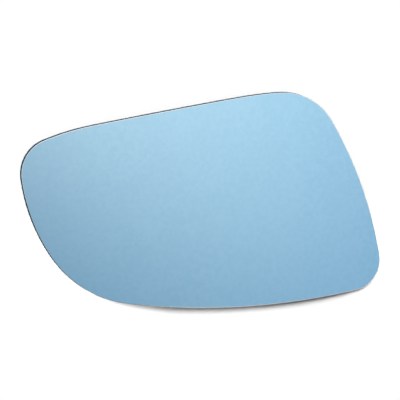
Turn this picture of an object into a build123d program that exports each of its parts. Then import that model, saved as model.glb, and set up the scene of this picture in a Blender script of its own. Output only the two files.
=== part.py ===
"""Glass of a car door mirror: one thin convex pane, tall at the inboard end and rounded outboard.

The pane lies as it comes to rest, reflecting face up and level on three of its corners. X runs
along it towards the inboard end, Y towards its upper edge on the car and Z out of the reflecting
face. The origin is the middle of its outline, on the surface that it lies on.
"""

import os
from math import sqrt

from build123d import *

os.makedirs("parts", exist_ok=True)

# Glass, in millimetres as everywhere below
THICKNESS = 2.5
CONVEX_RADIUS = 1400.0  # sphere that the reflecting face is part of
FRONT_EDGE_RADIUS = 0.3  # ground rim of the reflecting face
BACK_EDGE_RADIUS = 0.3  # ground rim of the back

# Outline seen from the front, by the points where its sides meet before the corners are rounded.
# The heel is where the bottom runs out into the outboard end.
BOTTOM_LENGTH = 131.0  # from the heel to the inboard end
BOTTOM_DROP = 0.5  # inboard end below the heel
INBOARD_HEIGHT = 96.0
INBOARD_RAKE = 37.0  # lean of the inboard side towards the middle
TIP_HEIGHT = 75.5  # outboard tip above the heel
TIP_OVERHANG = 52.0  # outboard tip beyond the heel

# The top droops at both ends. The shoulder and the crown are where it starts to, by how far along
# the straight line between the tip and the inboard end they are, and how far above it.
SHOULDER_LENGTH = 36.0  # from the tip
SHOULDER_BULGE = 5.6
CROWN_LENGTH = 38.5  # from the inboard end
CROWN_BULGE = 4.7

# How far a side bows out from the straight line between its ends
BOTTOM_BOW = 5.6
INBOARD_BOW = 6.5
TOP_BOW = 0.3

# Rounding of the outline
HEEL_RADIUS = 56.5
HEEL_TURN = 46.0  # degrees that the heel turns through
TIP_RADIUS = 16.5
LOWER_INBOARD_RADIUS = 14.0
UPPER_INBOARD_RADIUS = 31.5

heel = Vector(0, 0)
lower_inboard = heel + Vector(BOTTOM_LENGTH, -BOTTOM_DROP)
upper_inboard = lower_inboard + Vector(-INBOARD_RAKE, INBOARD_HEIGHT)
tip = heel + Vector(-TIP_OVERHANG, TIP_HEIGHT)
along_top = (upper_inboard - tip).normalized()
above_top = along_top.rotate(Axis.Z, 90)
shoulder = tip + along_top * SHOULDER_LENGTH + above_top * SHOULDER_BULGE
crown = upper_inboard - along_top * CROWN_LENGTH + above_top * CROWN_BULGE

corner_radii = {
    tip: TIP_RADIUS,
    lower_inboard: LOWER_INBOARD_RADIUS,
    upper_inboard: UPPER_INBOARD_RADIUS,
}

with BuildSketch() as outline:
    with BuildLine():
        bottom = SagittaArc(heel, lower_inboard, -BOTTOM_BOW)
        SagittaArc(lower_inboard, upper_inboard, -INBOARD_BOW)
        top = SagittaArc(crown, shoulder, -TOP_BOW)
        TangentArc(crown, upper_inboard, tangent=-(top % 0))
        TangentArc(shoulder, tip, tangent=top % 1)
        heel_round = JernArc(heel, -(bottom % 0), HEEL_RADIUS, -HEEL_TURN)
        TangentArc(heel_round @ 1, tip, tangent=heel_round % 1)
    make_face()
    for corner, radius in corner_radii.items():
        fillet(outline.vertices().sort_by_distance(corner)[0], radius)

# The pane rests on these three corners. It lies level when the sphere's axis stands at the centre
# of the circle that touches them from outside.
corner_arcs = [outline.edges().sort_by_distance(corner)[0] for corner in corner_radii]
corner_circles = [CenterArc(arc.arc_center, arc.radius, 0, 360) for arc in corner_arcs]
enclosed = [(circle, Tangency.ENCLOSING) for circle in corner_circles]
rest_circle = ConstrainedArcs(*enclosed, sagitta=Sagitta.LONG).edge()
back_radius = CONVEX_RADIUS - THICKNESS
rim_reach = rest_circle.radius - BACK_EDGE_RADIUS
centre_depth = sqrt((back_radius + BACK_EDGE_RADIUS) ** 2 - rim_reach**2) - BACK_EDGE_RADIUS
middle = outline.sketch.bounding_box().center()

with BuildPart() as mirror_glass:
    # A column in the outline's shape, cut off by the sphere of each face
    with BuildSketch(Plane.XY.offset(-centre_depth)):
        with Locations(-middle):
            add(outline.sketch)
    extrude(amount=2 * CONVEX_RADIUS)
    with Locations(rest_circle.arc_center - middle - Vector(0, 0, centre_depth)):
        # Turned so that the poles lie to the sides, clear of the glass
        Sphere(CONVEX_RADIUS, rotation=(90, 0, 0), mode=Mode.INTERSECT)
        Sphere(back_radius, rotation=(90, 0, 0), mode=Mode.SUBTRACT)
    front = mirror_glass.faces().filter_by(GeomType.SPHERE).sort_by(Axis.Z)[-1]
    fillet(front.edges(), FRONT_EDGE_RADIUS)
    back = mirror_glass.faces().filter_by(GeomType.SPHERE).sort_by(Axis.Z)[0]
    fillet(back.edges(), BACK_EDGE_RADIUS)

mirror_glass.part.label = "mirror_glass"
export_step(mirror_glass.part, "parts/mirror_glass.step")
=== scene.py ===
"""Looks of a car door mirror glass: its surfaces and finishes, the studio that it lies in and the camera.

Everything is in metres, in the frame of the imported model: X along the pane towards its inboard end,
Y towards its upper edge on the car and Z out of the reflecting face, from the floor that it lies on.
"""

import logging
from dataclasses import dataclass, field
from enum import Enum
from math import atan, cos, pi, radians, sin, tan
from typing import Any, ClassVar, Optional, Union

import bpy
import numpy as np
from mathutils import Matrix, Vector


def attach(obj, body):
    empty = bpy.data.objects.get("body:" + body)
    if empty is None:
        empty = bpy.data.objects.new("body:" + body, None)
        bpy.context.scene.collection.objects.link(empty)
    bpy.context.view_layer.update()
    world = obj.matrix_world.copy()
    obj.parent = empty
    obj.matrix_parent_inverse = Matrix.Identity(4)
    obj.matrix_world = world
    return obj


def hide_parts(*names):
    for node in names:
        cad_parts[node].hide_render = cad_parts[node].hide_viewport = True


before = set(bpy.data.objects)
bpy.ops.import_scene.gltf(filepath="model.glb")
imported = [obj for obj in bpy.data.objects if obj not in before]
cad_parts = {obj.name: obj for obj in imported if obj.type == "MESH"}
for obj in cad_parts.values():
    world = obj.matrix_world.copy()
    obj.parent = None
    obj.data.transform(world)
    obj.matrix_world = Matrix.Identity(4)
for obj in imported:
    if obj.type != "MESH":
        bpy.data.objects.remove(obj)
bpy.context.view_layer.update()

MM = 0.001
LOG = logging.getLogger("mirror_glass")

Array = np.ndarray
Span = tuple[float, float]
Triple = tuple[float, float, float]
Settings = dict[str, Any]

WHITE: Triple = (1.0, 1.0, 1.0)


class Channel:
    """What one output socket carries, with arithmetic that adds Math nodes."""

    def __init__(self, graph: "NodeGraph", socket: bpy.types.NodeSocket) -> None:
        """Wraps a socket of that graph."""
        self.graph = graph
        self.socket = socket

    def sibling(self, name: str) -> "Channel":
        """Another output of the same node."""
        return Channel(self.graph, self.socket.node.outputs[name])

    def maths(self, operation: str, first: "Number", second: "Number" = 0.0) -> "Channel":
        """Adds one Math node.

        Args:
            operation: The node's operation.
            first: Its first value.
            second: Its second value, where the operation has one.

        Returns:
            The node's result.
        """
        values = {"Value": first, "Value_001": second}
        return self.graph.node("ShaderNodeMath", {"operation": operation}, values)

    def __add__(self, other: "Number") -> "Channel":
        """Sum."""
        return self.maths("ADD", self, other)

    def __radd__(self, other: "Number") -> "Channel":
        """Sum, with the channel second."""
        return self.maths("ADD", other, self)

    def __sub__(self, other: "Number") -> "Channel":
        """Difference."""
        return self.maths("SUBTRACT", self, other)

    def __rsub__(self, other: "Number") -> "Channel":
        """Difference, with the channel second."""
        return self.maths("SUBTRACT", other, self)

    def __mul__(self, other: "Number") -> "Channel":
        """Product."""
        return self.maths("MULTIPLY", self, other)

    def __rmul__(self, other: "Number") -> "Channel":
        """Product, with the channel second."""
        return self.maths("MULTIPLY", other, self)

    def __truediv__(self, other: "Number") -> "Channel":
        """Quotient."""
        return self.maths("DIVIDE", self, other)

    def __rtruediv__(self, other: "Number") -> "Channel":
        """Quotient, with the channel second."""
        return self.maths("DIVIDE", other, self)

    def exp(self) -> "Channel":
        """e to the power of the channel."""
        return self.maths("EXPONENT", self)

    def maximum(self, other: "Number") -> "Channel":
        """The larger of the two."""
        return self.maths("MAXIMUM", self, other)

    def ramp(self, low: float, high: float) -> "Channel":
        """Smooth step: 0 up to low, 1 from high on, and t * t * (3 - 2 * t) in between.

        Args:
            low: Where the step starts.
            high: Where it ends.

        Returns:
            The step, from 0 to 1.
        """
        share = self.graph.node("ShaderNodeClamp", {}, {"Value": (self - low) / (high - low)})
        return share * share * (3.0 - 2.0 * share)


Number = Union[Channel, float]


class NodeGraph:
    """A node tree that is written from its first node to its output."""

    def __init__(self, tree: bpy.types.NodeTree) -> None:
        """Starts with an empty tree."""
        self.tree = tree
        tree.nodes.clear()

    def node(
        self,
        kind: str,
        settings: Optional[Settings] = None,
        sockets: Optional[Settings] = None,
        output: Optional[str] = None,
    ) -> Optional[Channel]:
        """Adds one node.

        Args:
            kind: The node's type.
            settings: Its own settings, which are set first.
            sockets: A value or a channel for each input, by the input's identifier.
            output: The identifier of the output that is wanted, or None for the first.

        Returns:
            That output, or None for a node that has none.
        """
        made = self.tree.nodes.new(kind)
        for name, value in (settings or {}).items():
            setattr(made, name, value)
        inputs = {socket.identifier: socket for socket in made.inputs}
        for name, value in (sockets or {}).items():
            if isinstance(value, Channel):
                self.tree.links.new(value.socket, inputs[name])
            else:
                inputs[name].default_value = value
        outputs = {socket.identifier: socket for socket in made.outputs}
        if not outputs:
            return None
        return Channel(self, outputs[output] if output else made.outputs[0])

    def mix(self, share: Number, first: Any, second: Any, mode: str = "MIX") -> Channel:
        """Blends two colours.

        Args:
            share: How much of the second is in the blend.
            first: The first colour.
            second: The second colour.
            mode: The blend mode.

        Returns:
            The blended colour.
        """
        values = {"Factor_Float": share}
        for name, colour in (("A_Color", first), ("B_Color", second)):
            values[name] = colour if isinstance(colour, Channel) else (*colour, 1.0)
        settings = {"data_type": "RGBA", "blend_type": mode}
        return self.node("ShaderNodeMix", settings, values, "Result_Color")

    def vector(self, operation: str, first: Any, second: Any) -> Channel:
        """Adds one Vector Math node and gives its result."""
        values = {"Vector": first, "Vector_001": second}
        return self.node("ShaderNodeVectorMath", {"operation": operation}, values)

    def noise(self, place: Channel, scale: float, detail: float) -> Channel:
        """Soft noise round one half.

        Args:
            place: Where it is read.
            scale: Blotches for each unit of the place.
            detail: Finer octaves on top of it.

        Returns:
            The noise, from 0 to 1.
        """
        values = {"Vector": place, "Scale": scale, "Detail": detail}
        return self.node("ShaderNodeTexNoise", {}, values, "Fac")


@dataclass(frozen=True)
class Finish:
    """A finish: every kind has a name and a way to lay its nodes."""

    name: str

    def lay(self, graph: NodeGraph) -> Channel:
        """Adds the finish's nodes and gives its shader."""
        raise NotImplementedError

    def material(self) -> bpy.types.Material:
        """Makes the finish a material.

        Returns:
            The new material.
        """
        made = bpy.data.materials.new(self.name)
        made.use_nodes = True
        graph = NodeGraph(made.node_tree)
        graph.node("ShaderNodeOutputMaterial", {}, {"Surface": self.lay(graph)})
        return made


@dataclass(frozen=True)
class BlueMirror(Finish):
    """Blue reflecting coat, finely mottled, with faint clouds left by wiping."""

    thick: Triple = (0.4355, 0.696, 0.8604)
    thin: Triple = (0.4645, 0.722, 0.8796)
    roughness: float = 0.012
    haze: float = 0.02
    mottle_scale: float = 420.0
    mottle_detail: float = 2.0
    mottle_share: float = 0.7
    cloud_scale: float = 75.0
    cloud_detail: float = 3.0
    pale_between: Span = (0.35, 0.65)

    def lay(self, graph: NodeGraph) -> Channel:
        """Metal of the coat's colour, which mottling and clouds make slightly paler or deeper.

        Args:
            graph: Where the nodes go.

        Returns:
            The finish's shader.
        """
        place = graph.node("ShaderNodeTexCoord", output="Object")
        mottle = graph.noise(place, self.mottle_scale, self.mottle_detail)
        clouds = graph.noise(place, self.cloud_scale, self.cloud_detail)
        tone = self.mottle_share * mottle + (1.0 - self.mottle_share) * clouds
        pale = tone.ramp(*self.pale_between)
        return graph.node(
            "ShaderNodeBsdfPrincipled",
            {},
            {
                "Base Color": graph.mix(pale, self.thick, self.thin),
                "Metallic": 1.0,
                "Roughness": self.roughness + self.haze * pale,
            },
        )


@dataclass(frozen=True)
class GroundGlass(Finish):
    """Ground edge of the glass: dark, without gloss, with fine marks that run along the rim."""

    clean: Triple = (0.032, 0.06, 0.078)
    scuffed: Triple = (0.056, 0.088, 0.108)
    roughness: float = 0.6
    dulling: float = 0.15
    marks_along: float = 250.0
    marks_across: float = 9000.0
    mark_detail: float = 4.0
    mark_share: float = 0.6
    mark_depth: float = 0.0024 * MM
    scuff_scale: float = 900.0
    scuff_detail: float = 3.0
    worn_between: Span = (0.35, 0.7)

    def wear(self, graph: NodeGraph, place: Channel) -> tuple[Channel, Channel]:
        """Noise that is long along the rim and fine across it, with scuffs.

        Args:
            graph: Where the nodes go.
            place: Where the noise is read.

        Returns:
            How far the edge is worn, and the normal that the marks give it.
        """
        run = graph.node("ShaderNodeAttribute", {"attribute_name": MirrorPane.RUN}, output="Fac")
        along = graph.vector("MULTIPLY", place, (self.marks_along, self.marks_along, 0.0))
        across = graph.node("ShaderNodeCombineXYZ", {}, {"Z": run * self.marks_across})
        marks = graph.noise(graph.vector("ADD", along, across), scale=1.0, detail=self.mark_detail)
        scuffs = graph.noise(place, self.scuff_scale, self.scuff_detail)
        wear = self.mark_share * marks + (1.0 - self.mark_share) * scuffs
        bump = {"Distance": self.mark_depth, "Height": marks}
        return wear.ramp(*self.worn_between), graph.node("ShaderNodeBump", {}, bump)

    def lay(self, graph: NodeGraph) -> Channel:
        """Dark glass that is paler where it is scuffed.

        Args:
            graph: Where the nodes go.

        Returns:
            The finish's shader.
        """
        worn, normal = self.wear(graph, graph.node("ShaderNodeTexCoord", output="Object"))
        return graph.node(
            "ShaderNodeBsdfPrincipled",
            {},
            {
                "Base Color": graph.mix(worn, self.clean, self.scuffed),
                "Roughness": self.roughness + self.dulling * worn,
                "Specular IOR Level": 0.0,
                "Normal": normal,
            },
        )


@dataclass(frozen=True)
class PolishedGlass(GroundGlass):
    """Ground edge polished to a pale shine, with painted shade: towards the outboard lower end it is
    painted as dark, dull glass.
    """

    clean: Triple = (0.2, 0.3, 0.36)
    scuffed: Triple = (0.24, 0.33, 0.39)
    roughness: float = 0.2
    bright: Triple = (0.86, 0.93, 0.97)
    brushed: Triple = (0.92, 0.96, 0.98)
    metallic: float = 0.8
    # painted shade: the direction and distances over which the pale edge is painted dark and dull
    painted_shade_way: Span = (-0.65, -0.7)
    painted_shade_between: Span = (44 * MM, 56 * MM)

    def lay(self, graph: NodeGraph) -> Channel:
        """Pale metal that gives way to painted shade, dark dull ground glass, where a place lies far
        along the painted shade's direction.

        Args:
            graph: Where the nodes go.

        Returns:
            The finish's shader.
        """
        place = graph.node("ShaderNodeTexCoord", output="Object")
        worn, normal = self.wear(graph, place)
        x = graph.node("ShaderNodeSeparateXYZ", {}, {"Vector": place})
        # painted shade: far along this direction the pale metal is swapped for dark, dull glass
        lower = self.painted_shade_way[0] * x + self.painted_shade_way[1] * x.sibling("Y")
        unshaded_polish = 1.0 - lower.ramp(*self.painted_shade_between)
        ground = graph.mix(worn, self.clean, self.scuffed)
        return graph.node(
            "ShaderNodeBsdfPrincipled",
            {},
            {
                "Base Color": graph.mix(unshaded_polish, ground, graph.mix(worn, self.bright, self.brushed)),
                "Roughness": self.roughness + self.dulling * worn,
                "Metallic": self.metallic * unshaded_polish,
                "Normal": normal,
            },
        )


@dataclass(frozen=True)
class BackPaint(Finish):
    """Dark backing paint, sprayed, with a fine orange peel."""

    wet: Triple = (0.045, 0.05, 0.055)
    dry: Triple = (0.075, 0.08, 0.085)
    roughness: float = 0.45
    dulling: float = 0.15
    peel_scale: float = 700.0
    peel_detail: float = 1.0
    peel_depth: float = 0.01 * MM
    cloud_scale: float = 60.0
    cloud_detail: float = 4.0
    dry_between: Span = (0.3, 0.7)

    def lay(self, graph: NodeGraph) -> Channel:
        """Paint that is a little drier in clouds and uneven with peel.

        Args:
            graph: Where the nodes go.

        Returns:
            The finish's shader.
        """
        place = graph.node("ShaderNodeTexCoord", output="Object")
        peel = graph.noise(place, self.peel_scale, self.peel_detail)
        clouds = graph.noise(place, self.cloud_scale, self.cloud_detail).ramp(*self.dry_between)
        bump = {"Distance": self.peel_depth, "Height": peel}
        return graph.node(
            "ShaderNodeBsdfPrincipled",
            {},
            {
                "Base Color": graph.mix(clouds, self.wet, self.dry),
                "Roughness": self.roughness + self.dulling * clouds,
                "Normal": graph.node("ShaderNodeBump", {}, bump),
            },
        )


class Zone(Enum):
    """The surfaces of the pane, each with its own finish."""

    FRONT = 0
    FRONT_EDGE = 1
    WALL = 2
    BACK = 3


@dataclass
class Rim:
    """The pane's outline seen from the front, as points in order and where the wall faces at each."""

    LEVEL: ClassVar[float] = 1e-3  # a normal that rises by less than this is level
    DECIMALS: ClassVar[int] = 6  # places that agree to this many decimals of a metre are one point

    points: Array
    facing: Array

    @classmethod
    def of_wall(cls, places: Array, normals: Array) -> "Rim":
        """Reads the outline from the corners of the upright wall.

        The wall's normals are level. The outline is convex, so the direction that the wall faces
        rises all the way round it and puts the points in order.

        Args:
            places: The places of the mesh's corners, in rows.
            normals: Their normals.

        Returns:
            The outline.
        """
        level = np.abs(normals[:, 2]) < cls.LEVEL
        rounded = np.round(places[level, :2], cls.DECIMALS)
        plan, first = np.unique(rounded, axis=0, return_index=True)
        outward = normals[level][first]
        facing = np.arctan2(outward[:, 1], outward[:, 0])
        order = np.argsort(facing)
        return cls(plan[order], facing[order])

    def sample(self, count: int) -> tuple[Array, Array]:
        """Spaces points evenly along the outline.

        Between two of its points the outline is an arc that turns as the facings do. The part of it
        with length s and turn a spans a chord of s * sin(a / 2) / (a / 2), and that chord heads back
        from the chord of the whole arc by half the turn that is left.

        Args:
            count: The number of points.

        Returns:
            The points, and the direction that the wall faces at each.
        """
        chord = np.roll(self.points, -1, 0) - self.points
        turn = (np.roll(self.facing, -1) - self.facing) % (2 * pi)
        length = np.linalg.norm(chord, axis=1) / np.sinc(turn / 2 / pi)
        starts = np.concatenate([[0.0], np.cumsum(length)])
        along = np.linspace(0.0, starts[-1], count, endpoint=False)
        stretch = np.searchsorted(starts, along, side="right") - 1
        run = along - starts[stretch]
        swept = turn[stretch] * run / length[stretch]
        reach = run * np.sinc(swept / 2 / pi)
        heading = np.arctan2(chord[:, 1], chord[:, 0])[stretch] - (turn[stretch] - swept) / 2
        step = reach[:, None] * np.stack([np.cos(heading), np.sin(heading)], 1)
        return self.points[stretch] + step, self.facing[stretch] + swept


@dataclass
class Sphere:
    """The sphere that one face of the pane is part of."""

    centre: Array
    radius: float

    @classmethod
    def through(cls, places: Array) -> "Sphere":
        """The sphere closest to some points.

        A point p is on the sphere where p * p = 2 * c * p + (r * r - c * c), which is linear in the
        centre c and in the bracket.

        Args:
            places: The points, in rows.

        Returns:
            The sphere.
        """
        terms = np.column_stack([2 * places, np.ones(len(places))])
        solved = np.linalg.lstsq(terms, (places**2).sum(1), rcond=None)[0]
        centre = solved[:3]
        return cls(centre, float(np.sqrt(solved[3] + centre @ centre)))

    def over(self, plan: Array, grown: float = 0.0) -> Array:
        """Points of the sphere's upper side, above points of the plan.

        Args:
            plan: The points of the plan, with x and y on the last axis.
            grown: How much larger the sphere is taken to be.

        Returns:
            The points, with x, y and z.
        """
        across = ((plan - self.centre[:2]) ** 2).sum(-1, keepdims=True)
        height = self.centre[2] + np.sqrt((self.radius + grown) ** 2 - across)
        return np.concatenate([plan, height], -1)

    def away(self, places: Array) -> Array:
        """Directions from the centre to some points."""
        reach = places - self.centre
        return reach / np.linalg.norm(reach, axis=-1, keepdims=True)


@dataclass
class Band:
    """Rows of a surface that runs round the pane, with the zone that they belong to."""

    zone: Zone
    places: Array
    normals: Array

    def split(self, rows: int, zone: Zone) -> tuple["Band", "Band"]:
        """Cuts the band in two along one of its rows.

        Args:
            rows: How many steps stay in the first part.
            zone: The zone of the second part.

        Returns:
            Both parts, which share the row.
        """
        first = Band(self.zone, self.places[: rows + 1], self.normals[: rows + 1])
        return first, Band(zone, self.places[rows:], self.normals[rows:])


@dataclass
class MirrorPane:
    """The pane of glass: reflecting face, ground rim and painted back, as one closed surface."""

    RUN: ClassVar[str] = "profile_run"  # attribute: the way across the rim from the reflecting face
    UPRIGHT: ClassVar[float] = 0.997  # normals of both faces stand at least as upright as this

    node: str = "mirror_glass"
    name: str = "mirror_pane"
    body: str = "root"
    slot: str = "blue_mirror"
    front_edge_radius: float = 0.3 * MM
    back_edge_radius: float = 0.3 * MM
    columns: int = 720
    face_rows: int = 32
    edge_rows: int = 8
    polished_rows: int = 4
    wall_rows: int = 3
    finishes: dict[Zone, Finish] = field(
        default_factory=lambda: {
            Zone.FRONT: BlueMirror("blue_mirror_coat"),
            Zone.FRONT_EDGE: PolishedGlass("polished_edge_with_painted_shade"),
            Zone.WALL: GroundGlass("ground_wall"),
            Zone.BACK: BackPaint("back_paint"),
        }
    )

    def read(self) -> tuple[Rim, Sphere, Sphere]:
        """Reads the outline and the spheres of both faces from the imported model.

        Returns:
            The outline, the sphere of the front and that of the back.
        """
        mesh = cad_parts[self.node].data
        places = np.empty((len(mesh.vertices), 3), np.float32)
        mesh.vertices.foreach_get("co", places.ravel())
        normals = np.empty((len(mesh.loops), 3), np.float32)
        mesh.corner_normals.foreach_get("vector", normals.ravel())
        corners = np.empty(len(mesh.loops), np.int32)
        mesh.loops.foreach_get("vertex_index", corners)
        places, normals = places[corners].astype(float), normals.astype(float)
        front = Sphere.through(places[normals[:, 2] > self.UPRIGHT])
        back = Sphere.through(places[normals[:, 2] < -self.UPRIGHT])
        return Rim.of_wall(places, normals), front, back

    def rounding(self, zone: Zone, ball: Array, radius: float, start: Array, end: Array) -> Band:
        """A rounded edge: a turn about the middle of a ball that rolls along the rim.

        Each normal is the start turned towards the end by equal angles, and the surface lies one
        radius from the ball's middle along it.

        Args:
            zone: The zone of the edge.
            ball: The ball's middles, in order round the rim.
            radius: The ball's radius.
            start: The normals where the edge starts.
            end: The normals where it ends.

        Returns:
            The edge's rows, from start to end.
        """
        angle = np.arccos((start * end).sum(-1))[:, None]
        share = np.linspace(0.0, 1.0, self.edge_rows + 1)[:, None, None]
        normals = np.sin((1 - share) * angle) * start + np.sin(share * angle) * end
        normals /= np.sin(angle)
        return Band(zone, ball + radius * normals, normals)

    def bands(self, rim: Rim, front: Sphere, back: Sphere) -> list[Band]:
        """The rows of every zone, from the middle of the front round the rim to that of the back.

        The rows of a face are smaller copies of its outermost row, laid on its sphere. The wall
        runs straight down between the two rounded edges.

        Args:
            rim: The pane's outline.
            front: The sphere of the front.
            back: The sphere of the back.

        Returns:
            The bands in order. Each starts on the last row of the one before it.
        """
        plan, facing = rim.sample(self.columns)
        level = np.stack([np.cos(facing), np.sin(facing), np.zeros(self.columns)], 1)
        ball = front.over(plan - self.front_edge_radius * level[:, :2], -self.front_edge_radius)
        front_edge = self.rounding(
            Zone.FRONT_EDGE, ball, self.front_edge_radius, front.away(ball), level
        )
        polished, ground = front_edge.split(self.polished_rows, Zone.WALL)
        ball = back.over(plan - self.back_edge_radius * level[:, :2], self.back_edge_radius)
        back_edge = self.rounding(Zone.WALL, ball, self.back_edge_radius, level, -back.away(ball))
        down = np.linspace(0.0, 1.0, self.wall_rows + 1)[:, None, None]
        wall = front_edge.places[-1] * (1 - down) + back_edge.places[0] * down
        size = np.linspace(0.0, 1.0, self.face_rows + 1)[1:, None, None]
        front_face = front.over(size * front_edge.places[0, :, :2])
        back_face = back.over(size[::-1] * back_edge.places[-1, :, :2])
        return [
            Band(Zone.FRONT, front_face, front.away(front_face)),
            polished,
            ground,
            Band(Zone.WALL, wall, np.broadcast_to(level, wall.shape)),
            back_edge,
            Band(Zone.BACK, back_face, -back.away(back_face)),
        ]

    def build(self) -> bpy.types.Object:
        """Makes the pane's mesh: quads round the rim in rows, closed by a fan at each face's middle.

        Returns:
            The pane.
        """
        rim, front, back = self.read()
        first, *others = self.bands(rim, front, back)
        rows = [first, *(Band(b.zone, b.places[1:], b.normals[1:]) for b in others)]
        places = np.concatenate([band.places for band in rows])
        zones = np.concatenate([np.full(len(band.places), band.zone.value) for band in rows])
        steps = np.linalg.norm(np.diff(places, axis=0, prepend=places[:1]), axis=2)
        run = np.cumsum(steps, axis=0)
        run -= run[len(first.places) - 1]

        vertex = np.arange(run.size).reshape(run.shape)
        ahead = np.roll(vertex, -1, 1)
        quads = np.stack([vertex[:-1], vertex[1:], ahead[1:], ahead[:-1]], -1).reshape(-1, 4)
        poles = np.stack([front.over(np.zeros(2)), back.over(np.zeros(2))])
        pole_normals = np.stack([front.away(poles[0]), -back.away(poles[1])])
        front_fan = np.stack([vertex[0], ahead[0], np.full(self.columns, run.size)], 1)
        back_fan = np.stack([ahead[-1], vertex[-1], np.full(self.columns, run.size + 1)], 1)
        fans = np.concatenate([front_fan, back_fan])
        fan_zones = np.repeat([Zone.FRONT.value, Zone.BACK.value], self.columns)
        face_zones = np.concatenate([np.repeat(zones[1:], self.columns), fan_zones])
        normals = [*(band.normals.reshape(-1, 3) for band in rows), pole_normals]

        mesh = bpy.data.meshes.new(self.name)
        vertices = np.concatenate([places.reshape(-1, 3), poles])
        mesh.from_pydata(vertices.tolist(), [], quads.tolist() + fans.tolist())
        mesh.polygons.foreach_set("material_index", face_zones.astype(np.int32))
        mesh.polygons.foreach_set("use_smooth", np.ones(len(mesh.polygons), bool))
        runs = np.concatenate([run.ravel(), run[0].mean(keepdims=True), run[-1].mean(keepdims=True)])
        attribute = mesh.attributes.new(self.RUN, "FLOAT", "POINT")
        attribute.data.foreach_set("value", runs.astype(np.float32))
        mesh.update()
        mesh.normals_split_custom_set_from_vertices(np.concatenate(normals).tolist())
        pane = bpy.data.objects.new(self.name, mesh)
        bpy.context.scene.collection.objects.link(pane)
        return pane

    def dress(self, pane: bpy.types.Object) -> None:
        """Gives each zone its finish and puts the pane in the CAD node's place.

        Args:
            pane: The pane.
        """
        for zone in Zone:
            pane.data.materials.append(self.finishes[zone].material())
        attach(pane, self.body)
        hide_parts(self.node)


@dataclass(frozen=True)
class StudioFloor(Finish):
    """White floor that keeps the shadow. What sees it directly sees it as white."""

    seen: Triple = WHITE
    bounced: Triple = (0.8, 0.8, 0.8)

    def lay(self, graph: NodeGraph) -> Channel:
        """Matt white, brighter for rays that show it than for light that bounces off it.

        Args:
            graph: Where the nodes go.

        Returns:
            The finish's shader.
        """
        path = graph.node("ShaderNodeLightPath", output="Is Camera Ray")
        shown = path.maximum(path.sibling("Is Glossy Ray")).maximum(path.sibling("Is Transmission Ray"))
        colour = graph.mix(shown, self.bounced, self.seen)
        return graph.node("ShaderNodeBsdfDiffuse", {}, {"Color": colour})


@dataclass(frozen=True)
class Lamp:
    """A lamp that reflections don't show.

    Its level is what it adds to a white floor, and its side is the way from the pane towards it.
    """

    name: str
    level: float
    side: Triple

    def bulb(self, way: Vector) -> bpy.types.Light:
        """The light, for a lamp that shines from that way."""
        raise NotImplementedError

    def place(self, way: Vector) -> Vector:
        """Where the lamp hangs, when it shines from that way."""
        raise NotImplementedError

    def hang(self) -> bpy.types.Object:
        """Hangs the lamp on its side, turned towards the floor.

        Returns:
            The lamp.
        """
        way = Vector(self.side).normalized()
        lamp = bpy.data.objects.new(self.name, self.bulb(way))
        lamp.location = self.place(way)
        lamp.rotation_mode = "QUATERNION"
        lamp.rotation_quaternion = way.to_track_quat("Z", "Y")
        lamp.visible_glossy = False
        bpy.context.scene.collection.objects.link(lamp)
        return lamp


@dataclass(frozen=True)
class KeyLamp(Lamp):
    """Wide soft lamp far beyond the upper edge, which lays the shadow along the lower one."""

    spread: float

    def bulb(self, way: Vector) -> bpy.types.Light:
        """Light from a round patch of the sky. Energy pi lights a white sheet square to it fully.

        Args:
            way: The direction towards the lamp.

        Returns:
            The light.
        """
        light = bpy.data.lights.new(self.name, "SUN")
        light.energy = self.level * pi / way.z
        light.angle = self.spread
        return light

    def place(self, way: Vector) -> Vector:
        """Anywhere that way, because only the direction counts."""
        return way


@dataclass(frozen=True)
class SpotLamp(Lamp):
    """Small lamp that opens up the shadow round one place on the floor, and lights nothing else."""

    aim: Span
    reach: float
    fade: float
    distance: float = 1.0
    width: float = 40 * MM

    def bulb(self, way: Vector) -> bpy.types.Light:
        """A narrow beam, whose light on a sheet square to it is energy / (2 * pi * distance) squared.

        Args:
            way: The direction towards the lamp.

        Returns:
            The light.
        """
        light = bpy.data.lights.new(self.name, "SPOT")
        light.energy = self.level * (2 * pi * self.distance) ** 2 / way.z
        light.spot_size = 2 * atan(self.reach / self.distance)
        light.spot_blend = self.fade
        light.shadow_soft_size = self.width / 2
        return light

    def place(self, way: Vector) -> Vector:
        """At its distance from the aim."""
        return Vector((*self.aim, 0.0)) + self.distance * way

    def hang_over(self, floor: bpy.types.Object) -> bpy.types.Object:
        """Hangs the lamp and keeps its light to the floor.

        Args:
            floor: The studio's floor.

        Returns:
            The lamp.
        """
        lamp = self.hang()
        lit = bpy.data.collections.new(f"{self.name}_lights")
        lit.objects.link(floor)
        lamp.light_linking.receiver_collection = lit
        return lamp


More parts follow.
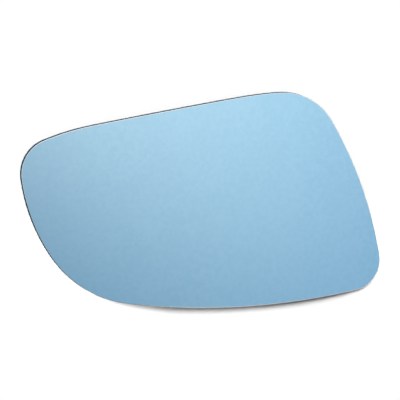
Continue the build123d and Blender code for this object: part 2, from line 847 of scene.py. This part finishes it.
@dataclass
class Studio:
    """Floor, lamps and surroundings.

    The glass mirrors the part of the surroundings that is almost overhead: the soft lower edge of a
    wide bright panel. Towards the horizon the surroundings are white.
    """

    floor_half: float = 20.0
    key: KeyLamp = KeyLamp("key_lamp", level=0.9, side=(-0.42, 0.64, 1.0), spread=radians(28.0))
    spots: tuple[SpotLamp, ...] = (
        SpotLamp(
            "heel_lamp", level=1.0, side=(-0.2, -0.7, 1.0),
            aim=(-55 * MM, -49 * MM), reach=24 * MM, fade=0.4,
        ),
        SpotLamp(
            "end_lamp", level=0.6, side=(-0.7, -0.5, 1.0),
            aim=(-76 * MM, -20 * MM), reach=22 * MM, fade=0.6,
        ),
        SpotLamp(
            "front_lamp", level=0.14, side=(0.0, -0.7, 1.0),
            aim=(6 * MM, -58 * MM), reach=40 * MM, fade=0.6,
        ),
        SpotLamp(
            "corner_lamp", level=1.6, side=(0.4, -0.4, 1.0),
            aim=(95 * MM, -35 * MM), reach=13 * MM, fade=0.5,
        ),
    )
    fill: Triple = (0.115, 0.11, 0.105)
    panel_middle: Span = (0.168, 0.355)
    panel_reach: Span = (0.3, 0.642)
    panel_turn: float = 0.529
    panel_light: Triple = (1.15, 1.15, 1.15)
    panel_beyond: Triple = (0.29, 0.408, 0.52)
    warm_side: Triple = (1.117, 1.0, 0.927)
    cool_side: Triple = (0.883, 1.0, 1.073)
    cool_at: float = 0.66
    walls_below: Span = (0.5, 0.84)

    def lay_floor(self) -> bpy.types.Object:
        """Lays a level white sheet, far larger than the pane.

        Returns:
            The floor.
        """
        side = np.array([-self.floor_half, self.floor_half])
        x, y = np.meshgrid(side, side)
        corners = np.stack([x.ravel(), y.ravel(), np.zeros(4)], 1)
        mesh = bpy.data.meshes.new("studio_floor")
        mesh.from_pydata(corners.tolist(), [], [(0, 1, 3, 2)])
        mesh.materials.append(StudioFloor("white_floor").material())
        floor = bpy.data.objects.new("studio_floor", mesh)
        bpy.context.scene.collection.objects.link(floor)
        return floor

    def surround(self) -> None:
        """Sets the world: white behind the object, the panel in reflections and a plain fill light.

        The panel is a turned ellipse, and its light falls off as exp(-d ** 4), where d is the
        distance from its middle as a share of its reach.
        """
        world = bpy.data.worlds.new("studio")
        world.use_nodes = True
        bpy.context.scene.world = world
        graph = NodeGraph(world.node_tree)
        way = graph.node("ShaderNodeTexCoord", output="Generated")
        x = graph.node("ShaderNodeSeparateXYZ", {}, {"Vector": way})
        y, z = x.sibling("Y"), x.sibling("Z")
        aside, ahead = x - self.panel_middle[0], y - self.panel_middle[1]
        turned, square = cos(self.panel_turn), sin(self.panel_turn)
        across = (aside * turned + ahead * square) / self.panel_reach[0]
        up = (ahead * turned - aside * square) / self.panel_reach[1]
        off = across * across + up * up
        panel = graph.mix((0.0 - off * off).exp(), self.panel_beyond, self.panel_light)
        hue = graph.mix(x / self.cool_at, self.warm_side, self.cool_side)
        overhead = graph.mix(1.0, panel, hue, "MULTIPLY")
        mirrored = graph.mix(z.ramp(*self.walls_below), WHITE, overhead)
        path = graph.node("ShaderNodeLightPath", output="Is Camera Ray")
        shown = path.sibling("Is Glossy Ray").maximum(path.sibling("Is Transmission Ray"))
        lit = graph.mix(shown, self.fill, mirrored)
        seen = graph.mix(path, lit, WHITE)
        shader = graph.node("ShaderNodeBackground", {}, {"Color": seen})
        graph.node("ShaderNodeOutputWorld", {}, {"Surface": shader})

    def build(self) -> list[bpy.types.Object]:
        """Sets the surroundings, lays the floor and hangs the lamps.

        Returns:
            The floor and the lamps.
        """
        self.surround()
        floor = self.lay_floor()
        return [floor, self.key.hang(), *(spot.hang_over(floor) for spot in self.spots)]


@dataclass
class ProductCamera:
    """Long lens above the pane, leaning to its outboard end and its upper edge."""

    lens: float = 300.0
    sensor: float = 36.0
    clip_share: float = 10.0
    frame_width: float = 188.88 * MM
    aim: Triple = (-2.36 * MM, 1.82 * MM, 2.5 * MM)
    lean_outboard: float = radians(20.0)
    lean_up: float = radians(12.0)

    def build(self) -> bpy.types.Object:
        """Places the camera so that the frame is as wide as frame_width at the aim.

        Returns:
            The camera, which is also the scene's.
        """
        back = Vector((-tan(self.lean_outboard), tan(self.lean_up), 1.0)).normalized()
        right = Vector((0.0, 1.0, 0.0)).cross(back).normalized()
        turn = Matrix((right, back.cross(right), back)).transposed().to_4x4()
        distance = self.frame_width * self.lens / self.sensor
        data = bpy.data.cameras.new("camera")
        data.lens = self.lens
        data.sensor_width = self.sensor
        data.clip_end = self.clip_share * distance
        camera = bpy.data.objects.new("camera", data)
        camera.matrix_world = Matrix.Translation(Vector(self.aim) + distance * back) @ turn
        bpy.context.scene.collection.objects.link(camera)
        bpy.context.scene.camera = camera
        return camera


def main() -> None:
    """Builds the pane, the studio and the camera."""
    logging.basicConfig(level=logging.INFO, format="%(message)s")
    bpy.context.scene.view_settings.view_transform = "Standard"
    glass = MirrorPane()
    pane = glass.build()
    glass.dress(pane)
    LOG.info("%s: %d faces, on %s", pane.name, len(pane.data.polygons), glass.body)
    for staged in Studio().build():
        LOG.info("%s: studio", staged.name)
    camera = ProductCamera().build()
    LOG.info("%s: lens %g mm", camera.name, camera.data.lens)


if __name__ == "__main__":
    main()
